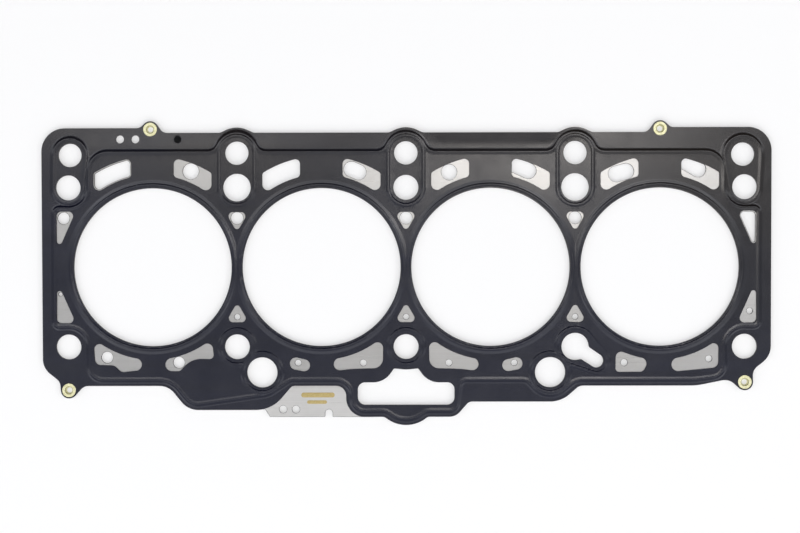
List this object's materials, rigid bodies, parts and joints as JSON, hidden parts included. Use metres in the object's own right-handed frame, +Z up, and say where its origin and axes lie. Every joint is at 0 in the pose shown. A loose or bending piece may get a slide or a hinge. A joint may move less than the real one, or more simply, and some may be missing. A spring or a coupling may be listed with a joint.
{
  "type": "cylinder head gasket",
  "caption": "Multi-layer steel cylinder head gasket with embossed coated outer sheets, a bare spacer with a marking tab, and tubular eyelets.",
  "frame": {"origin": "on the line of the bores, midway between the second and third bores, in the plane of the lowest bead crests, which is the engine block's deck", "axes": "+X along the row of bores, +Y across the deck towards the side with the second row of round holes, +Z up from block to head"},
  "size_m": [0.3798, 0.1585, 0.0024],
  "materials": {
    "coated_steel": "satin rubber coating, charcoal with a blue cast",
    "bare_steel": "plain rolled spring steel",
    "yellow_plating": "pale yellow-green plated steel"
  },
  "bodies": {
    "root": {"top_bead_layer": "coated_steel", "spacer_layer": "bare_steel", "bottom_bead_layer": "coated_steel", "eyelet_top_left": "yellow_plating", "eyelet_top_right": "yellow_plating", "eyelet_lower_left": "yellow_plating", "eyelet_lower_right": "yellow_plating"}
  },
  "joints": []
}
